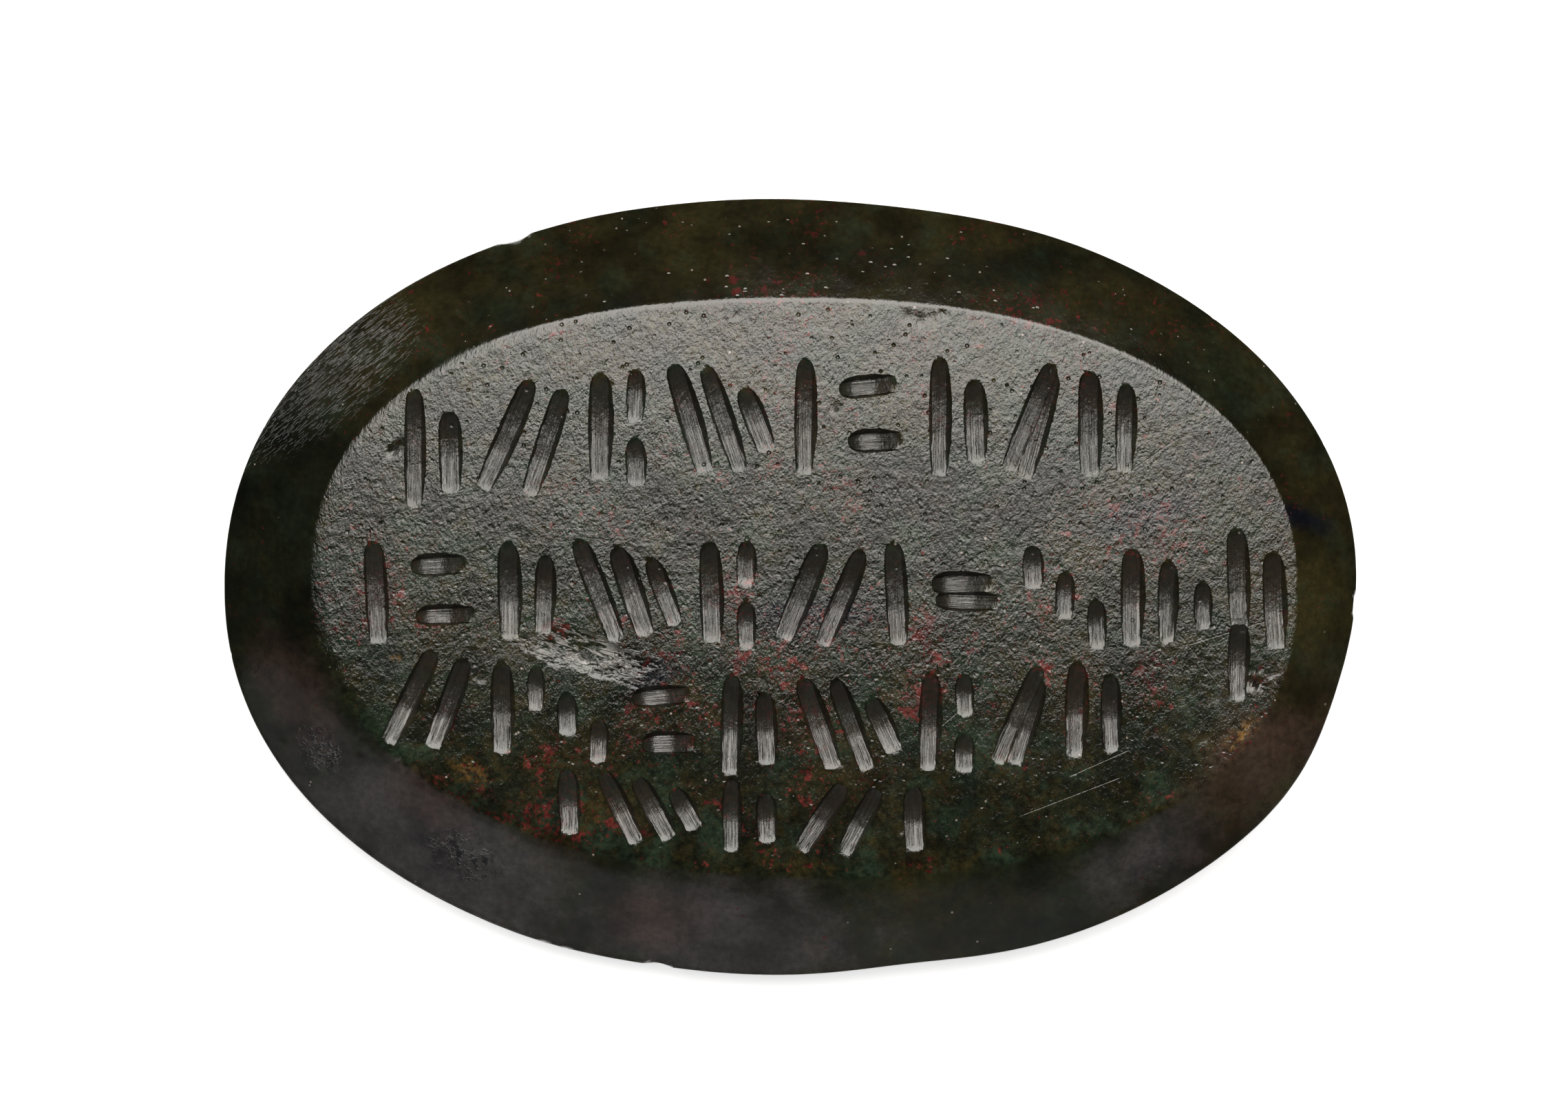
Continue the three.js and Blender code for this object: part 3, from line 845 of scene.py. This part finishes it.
class Nodes:
    """Short ways to add and join the nodes of one material."""

    def __init__(self, tree):
        self.tree = tree

    def join(self, node, sockets):
        """Joins inputs of a node to outputs, or sets plain values on them."""
        for name, value in sockets.items():
            if isinstance(value, bpy.types.NodeSocket):
                self.tree.links.new(value, node.inputs[name])
            else:
                node.inputs[name].default_value = value

    def add(self, kind, sockets=None, **settings):
        """Adds a node with these inputs and settings."""
        node = self.tree.nodes.new(kind)
        for name, value in settings.items():
            setattr(node, name, value)
        self.join(node, sockets or {})
        return node

    def stretch(self, vector, sizes, turn=0.0, place=(0.0, 0.0, 0.0)):
        """Patterns read from this are longer by the sizes given, along a turned length axis."""
        sockets = {"Vector": vector, "Location": place, "Rotation": (0.0, 0.0, turn), "Scale": sizes}
        return self.add("ShaderNodeMapping", sockets, vector_type="TEXTURE").outputs["Vector"]

    def cloud(self, vector, size, detail=3.0, roughness=0.55, distortion=0.0):
        """Noise with patches of about this size in millimetres."""
        sockets = {
            "Vector": vector, "Scale": 1.0 / size,
            "Detail": detail, "Roughness": roughness, "Distortion": distortion,
        }
        return self.add("ShaderNodeTexNoise", sockets).outputs["Fac"]

    def grains(self, vector, size):
        """Distance from the nearest of scattered points, in grains of this size in millimetres."""
        sockets = {"Vector": vector, "Scale": 1.0 / size}
        return self.add("ShaderNodeTexVoronoi", sockets).outputs["Distance"]

    def sum(self, first, second, kind="ADD"):
        return self.add("ShaderNodeMath", {0: first, 1: second}, operation=kind).outputs["Value"]

    def times(self, first, second):
        return self.sum(first, second, "MULTIPLY")

    def fold(self, parts, kind="ADD"):
        """Joins several values into one, each by the same sum."""
        result, *others = parts
        for part in others:
            result = self.sum(result, part, kind)
        return result

    def relief(self, pattern, rise):
        """A height that goes half the rise up and half of it down, for a pattern from 0 to 1."""
        return self.times(self.sum(pattern, -0.5), rise)

    def band(self, value, low, high, out_low=0.0, out_high=1.0):
        """Turns low..high into out_low..out_high, smoothly."""
        sockets = {"Value": value, "From Min": low, "From Max": high, "To Min": out_low, "To Max": out_high}
        return self.add("ShaderNodeMapRange", sockets, interpolation_type="SMOOTHSTEP").outputs["Result"]

    def blend(self, share, first, second):
        """One colour over another, by a share."""
        node = self.add("ShaderNodeMix", {"Factor": share}, data_type="RGBA")
        for name, tint in (("A", first), ("B", second)):
            self.join(node, {name: tint if isinstance(tint, bpy.types.NodeSocket) else (*tint, 1.0)})
        return node.outputs["Result"]

    def patch(self, vector, ragged, centre, reach, narrow, turn):
        """A soft patch round a place in millimetres, with a ragged edge."""
        local = self.stretch(vector, (1.0, narrow, 4.0), radians(turn), (*centre, 2.3))
        node = self.add("ShaderNodeVectorMath", {0: local}, operation="LENGTH")
        far = self.sum(node.outputs["Value"], self.times(ragged, 1.6 * reach))
        return self.band(far, 1.9 * reach, 0.9 * reach)

    def paint(self, colour, tint, vector, ragged, patches, share=1.0):
        """Lays a tint over a colour in some patches, by this share."""
        for patch in patches:
            covered = self.times(self.patch(vector, ragged, *patch), share)
            colour = self.blend(covered, colour, tint)
        return colour

    def split(self, vector):
        node = self.add("ShaderNodeSeparateXYZ", {"Vector": vector})
        return node.outputs["X"], node.outputs["Y"]

    def line(self, vector, x, y, turn, length):
        """A thin line of this length in millimetres, through a place, turned from the length axis."""
        local = self.stretch(vector, (1.0, 1.0, 1.0), radians(turn), (x, y, 0.0))
        along, across = self.split(local)
        within = self.band(self.sum(along, 0.0, "ABSOLUTE"), 0.5 * length, 0.4 * length)
        return self.times(within, self.band(self.sum(across, 0.0, "ABSOLUTE"), 0.022, 0.008))

    def mark(self, name):
        return self.add("ShaderNodeAttribute", attribute_name=name)

    def bump(self, height):
        """Relief from a height in millimetres."""
        sockets = {"Height": height, "Strength": 1.0, "Distance": MM}
        return self.add("ShaderNodeBump", sockets).outputs["Normal"]


def new_material(name):
    material = bpy.data.materials.new(name)
    material.use_nodes = True
    tree = material.node_tree
    shader = tree.nodes["Principled BSDF"]
    return material, Nodes(tree), shader


def jasper_colour(nodes, place, colours, border, cut, crumbs, torn_and_sheen, lapped):
    """Dark green jasper with its drifts, patches, clouds, spots, specks and grains, dull in the cuts, with
    painted shade at the border's head, at the left and in the pits, and painted sheen in the foot's grey
    and the rubbed place's pale streaks.
    """
    along, across = nodes.split(place)
    ragged = nodes.cloud(place, 0.9, 5.0, 0.65)
    warm = nodes.fold((
        nodes.cloud(place, 3.2, 4.0, 0.6),
        nodes.band(across, 1.0, 6.5, -0.06, 0.12),
        nodes.band(along, 8.0, 11.0, 0.0, 0.16),
        nodes.band(along, -8.0, -11.0, 0.0, -0.2),
    ))
    colour = nodes.blend(nodes.band(warm, 0.42, 0.64), colours.stone, colours.olive)
    drift = nodes.band(nodes.cloud(place, 0.5, 4.0, 0.7), 0.47, 0.6)
    mottle = nodes.times(drift, nodes.band(border, 0.0, 1.0, 0.8, 0.3))
    colour = nodes.blend(mottle, colour, colours.olive)
    # The border darker towards the head: painted shade
    painted_head_shade = nodes.times(border, nodes.band(across, -1.0, 3.0, 0.0, 0.35))
    colour = nodes.blend(painted_head_shade, colour, [0.4 * part for part in colours.stone])
    green = nodes.band(nodes.cloud(place, 1.1, 4.0, 0.7), 0.48, 0.62)
    green = nodes.times(green, nodes.band(border, 0.0, 1.0, 0.9, 0.35))
    colour = nodes.blend(green, colour, colours.leaf)
    colour = nodes.paint(colour, colours.ink_and_pit_shade, place, ragged, INK_CLOUDS)
    # Grey towards the border's foot: partly patina, partly painted sheen
    colour = nodes.paint(colour, colours.patina_and_sheen, place, ragged, PATINA_AND_SHEEN_CLOUDS, border)
    colour = nodes.paint(colour, colours.umber, place, ragged, UMBER_CLOUDS, 0.65)
    # Blue black in the pitted patches: painted shade in the pits
    colour = nodes.paint(colour, colours.ink_and_pit_shade, place, ragged, PITS_AND_PIT_SHADE_CLOUDS, crumbs)
    colour = nodes.paint(colour, colours.ochre, place, ragged, OCHRE_SPOTS, crumbs)
    gather = nodes.band(nodes.cloud(place, 1.6, 3.0, 0.6), 0.4, 0.66, -0.06, 0.06)
    for crowd in SPECK_GATHERINGS:
        gather = nodes.sum(gather, nodes.times(nodes.patch(place, ragged, *crowd), 0.05))
    fewer = nodes.times(border, nodes.band(across, 4.5, -2.5, -0.032, -0.09))
    gather = nodes.fold((gather, fewer, nodes.times(lapped, -0.07)))
    dull = [0.4 * part for part in colours.red]
    bright = [0.98 * part for part in colours.red]
    vivid = nodes.band(nodes.cloud(place, 0.3, 2.0), 0.35, 0.65)
    red = nodes.blend(nodes.times(vivid, nodes.band(border, 0.0, 1.0, 1.0, 0.45)), dull, bright)
    for size, level in SPECK_LAYERS:
        speck = nodes.sum(nodes.cloud(place, size, 3.0, 0.65), gather)
        colour = nodes.blend(nodes.band(speck, level, level + SPECK_STEP), colour, red)
    fine = nodes.band(nodes.cloud(place, 0.14, 3.0, 0.7), 0.3, 0.7, 0.5, 1.6)
    fine = nodes.sum(nodes.times(nodes.sum(fine, -1.0), nodes.band(border, 0.0, 1.0, 1.0, 0.45)), 1.0)
    broad = nodes.band(nodes.cloud(place, 1.3, 3.0, 0.6), 0.3, 0.7, 0.55, 1.5)
    # Darker towards the left end: painted shade
    painted_left_shade = nodes.band(along, -7.5, -10.5, 1.0, 0.65)
    value = nodes.times(nodes.times(fine, broad), painted_left_shade)
    shade = nodes.add("ShaderNodeHueSaturation", {"Color": colour, "Value": value})
    pale = nodes.band(nodes.grains(place, 0.42), 0.075, 0.045)
    pale = nodes.times(pale, nodes.band(ragged, 0.48, 0.56))
    pale = nodes.times(pale, nodes.band(border, 0.0, 1.0, 1.0, 0.6))
    colour = nodes.blend(pale, shade.outputs["Color"], colours.crystal)
    colour = nodes.blend(nodes.times(cut, 0.65), colour, colours.ground)
    # Pale torn streaks: partly whitish scrapes, partly painted sheen
    return nodes.blend(torn_and_sheen, colour, colours.scuff_and_sheen)


def jasper_relief(nodes, place, border, cut, stroke, rubbed, torn_and_sheen, lapped, crumbs, pitted):
    """Satin grain and tiny pits on the face, wheel marks in the cuts, rubs, lap lines and scratches."""
    across = nodes.split(place)[1]
    face = nodes.band(border, 0.0, 1.0, 1.0, 0.2)
    grain = nodes.cloud(nodes.stretch(place, (0.65, 1.0, 1.0)), 0.1, 3.0, 0.65)
    slanted = nodes.stretch(place, (0.55, 1.0, 1.0), radians(-12.0))
    ripple = nodes.cloud(slanted, 0.27, 4.0, 0.7, 0.2)
    scatter = nodes.band(nodes.cloud(place, 0.8, 2.0), 0.42, 0.56)
    depth = nodes.times(scatter, nodes.band(across, 3.0, -2.0, -0.022, -0.007))
    pit = nodes.times(nodes.band(nodes.grains(place, 0.27), 0.2, 0.06), depth)
    height = nodes.fold((nodes.relief(grain, GRAIN_RISE), nodes.relief(ripple, RIPPLE_RISE), pit))
    height = nodes.times(nodes.times(height, face), nodes.band(across, 1.5, -4.0, 1.0, 0.55))
    marks = nodes.band(nodes.cloud(nodes.stretch(stroke, (2.4, 0.065, 1.0)), 1.0, 3.0, 0.65), 0.36, 0.64)
    laps = nodes.cloud(nodes.stretch(place, (9.0, 1.0, 1.0), radians(38.0)), 0.04, 2.0, 0.5)
    scratches = nodes.fold([nodes.line(place, *scratch) for scratch in SCRATCHES], "MAXIMUM")
    return nodes.bump(nodes.fold((
        height,
        nodes.times(nodes.times(crumbs, pitted), CRUMB_RISE),
        nodes.times(rubbed, RUB_RISE),
        nodes.times(torn_and_sheen, TORN_RISE),
        nodes.times(nodes.relief(marks, WHEEL_MARK_RISE), cut),
        nodes.times(nodes.times(nodes.band(laps, 0.5, 0.66), lapped), LAP_LINE_RISE),
        nodes.times(scratches, SCRATCH_RISE),
    )))


def make_jasper(colours):
    """The gem's stone: polished dark green jasper, duller where it is cut, lapped or rubbed."""
    material, nodes, shader = new_material("green_jasper")
    source = nodes.add("ShaderNodeTexCoord").outputs["Object"]
    place = nodes.stretch(source, (MM, MM, MM))
    border = nodes.mark("border").outputs["Fac"]
    cut = nodes.mark("cut").outputs["Fac"]
    stroke = nodes.mark("stroke").outputs["Vector"]
    ragged = nodes.cloud(place, 0.5, 3.0, 0.6)
    rubbed = nodes.patch(place, ragged, *RUBBED_PATCH)
    fibres = nodes.cloud(nodes.stretch(place, (4.0, 1.0, 1.0), radians(-20.0)), 0.1, 2.0, 0.6, 0.6)
    # Torn streaks of the rubbed place: relief, and in the colour partly a painted sheen
    torn_and_sheen = nodes.times(nodes.band(fibres, 0.46, 0.56), rubbed)
    crumbs = nodes.band(nodes.cloud(place, 0.15, 3.0, 0.7), 0.46, 0.6, 0.05, 0.95)
    pitted = nodes.fold([nodes.patch(place, ragged, *cloud) for cloud in PITS_AND_PIT_SHADE_CLOUDS], "MAXIMUM")
    lapped = nodes.times(nodes.patch(place, 0.5, *LAPPED_PATCH), border)
    across = nodes.split(place)[1]
    rough = nodes.fold((
        nodes.times(border, nodes.band(across, 2.0, -5.0, -0.03, 0.072)),
        nodes.band(nodes.cloud(place, 0.7, 4.0, 0.6), 0.3, 0.7, *STONE_ROUGHNESS),
        nodes.band(across, 2.0, -1.5, 0.0, -0.014),
        nodes.times(cut, CUT_ROUGHNESS),
        nodes.times(lapped, LAP_ROUGHNESS),
        nodes.times(rubbed, RUB_ROUGHNESS),
    ))
    colour = jasper_colour(nodes, place, colours, border, cut, crumbs, torn_and_sheen, lapped)
    relief = jasper_relief(nodes, place, border, cut, stroke, rubbed, torn_and_sheen, lapped, crumbs, pitted)
    nodes.join(shader, {"Base Color": colour, "Roughness": rough, "Normal": relief, "IOR": JASPER_IOR})
    return material


def make_floor_paper(colours):
    """Pale paper that glows a little, so that it comes out white round the gem."""
    material, nodes, shader = new_material("pale_floor")
    source = nodes.add("ShaderNodeTexCoord").outputs["Object"]
    tint = nodes.cloud(nodes.stretch(source, (MM, MM, MM)), 60.0, 2.0)
    dusty = [0.985 * part for part in colours.floor]
    nodes.join(shader, {
        "Base Color": nodes.blend(tint, colours.floor, dusty), "Roughness": 0.9,
        "Emission Color": (1.0, 1.0, 1.0, 1.0), "Emission Strength": FLOOR_GLOW,
    })
    material.cycles.emission_sampling = "NONE"
    return material


def dress(piece, material):
    """Puts one material on the whole piece, after clearing the empty slot that cutting leaves."""
    mesh = piece.data
    mesh.materials.clear()
    mesh.materials.append(material)
    for polygon in mesh.polygons:
        polygon.material_index = 0


def add_softbox(name, azimuth, lean, distance, size, radiance, colour):
    """A soft light on a ray that leans from straight up by lean towards azimuth, turned to the gem."""
    bpy.ops.object.light_add(type="AREA")
    lamp = bpy.context.object
    lamp.name = name
    lamp.data.shape = "RECTANGLE"
    lamp.data.size = size[0]
    lamp.data.size_y = size[1]
    lamp.data.energy = pi * size[0] * size[1] * radiance
    lamp.data.color = colour
    azimuth = radians(azimuth)
    lean = radians(lean)
    flat = distance * sin(lean)
    lamp.location = (flat * cos(azimuth), flat * sin(azimuth), distance * cos(lean))
    lamp.rotation_euler = Vector(lamp.location).to_track_quat("Z", "Y").to_euler()


def light_studio():
    """A large soft light at the head, a faint card at the foot and a dim room."""
    for softbox in SOFTBOXES:
        add_softbox(*softbox)
    world = bpy.context.scene.world or bpy.data.worlds.new("studio")
    bpy.context.scene.world = world
    world.use_nodes = True
    background = world.node_tree.nodes["Background"]
    background.inputs["Color"].default_value = WORLD_COLOUR
    background.inputs["Strength"].default_value = WORLD_STRENGTH


def add_camera():
    """A long lens straight above the gem, with the photograph's framing."""
    bpy.ops.object.camera_add(rotation=(0.0, 0.0, 0.0))
    camera = bpy.context.object
    camera.name = "studio_camera"
    camera.data.lens = LENS
    camera.data.sensor_width = SENSOR
    camera.data.clip_start = CLIP_START
    camera.data.clip_end = CLIP_END
    x, y, z = VIEW_POINT
    camera.location = (x, y, z + VIEW_WIDTH * LENS / SENSOR)
    bpy.context.scene.camera = camera


class GEM_OT_add_gem(Operator):
    """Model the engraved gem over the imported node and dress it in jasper"""

    bl_idname = "gem.add_gem"
    bl_label = "Add Engraved Gem"

    def execute(self, context):
        sizes = context.scene.gem_sizes
        form = GemForm(sizes)
        gem = shape_blank(form)
        wear_surface(gem, form)
        chip_edge(gem, form)
        sink_pits(gem, form)
        cuts = lay_out_cuts(form, sizes.stroke_depth)
        cut_strokes(gem, form, sizes, cuts)
        if open_edges(gem.data):
            raise RuntimeError("the cut gem isn't closed")
        mark_surface(gem, form, cuts)
        centre_on_node(gem)
        dress(gem, make_jasper(context.scene.gem_colours))
        select_only(gem)
        bpy.ops.object.shade_smooth_by_angle(angle=radians(SMOOTH_ANGLE))
        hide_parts(NODE)
        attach(gem, "root")
        return {"FINISHED"}


class GEM_OT_add_stage(Operator):
    """Add the pale floor, the soft lights and the camera"""

    bl_idname = "gem.add_stage"
    bl_label = "Add Studio Stage"

    def execute(self, context):
        bpy.ops.object.select_all(action="DESELECT")
        bpy.ops.mesh.primitive_plane_add(size=FLOOR_SIZE)
        floor = context.object
        floor.name = "studio_floor"
        dress(floor, make_floor_paper(context.scene.gem_colours))
        light_studio()
        add_camera()
        context.scene.view_settings.view_transform = "Standard"
        return {"FINISHED"}


class GEM_PT_panel(Panel):
    """Lists the gem's sizes, colours and steps in the sidebar"""

    bl_idname = "GEM_PT_panel"
    bl_label = "Engraved Gem"
    bl_space_type = "VIEW_3D"
    bl_region_type = "UI"
    bl_category = "Gem"

    def draw(self, context):
        layout = self.layout
        for group in (context.scene.gem_sizes, context.scene.gem_colours):
            column = layout.column()
            for name in group.__annotations__:
                column.prop(group, name)
        layout.operator(GEM_OT_add_gem.bl_idname)
        layout.operator(GEM_OT_add_stage.bl_idname)


CLASSES = (GemSizes, GemColours, GEM_OT_add_gem, GEM_OT_add_stage, GEM_PT_panel)


def register():
    for item in CLASSES:
        bpy.utils.register_class(item)
    bpy.types.Scene.gem_sizes = PointerProperty(type=GemSizes)
    bpy.types.Scene.gem_colours = PointerProperty(type=GemColours)


def unregister():
    del bpy.types.Scene.gem_colours
    del bpy.types.Scene.gem_sizes
    for item in reversed(CLASSES):
        bpy.utils.unregister_class(item)


def main():
    register()
    bpy.ops.gem.add_gem()
    bpy.ops.gem.add_stage()


if __name__ == "__main__":
    main()
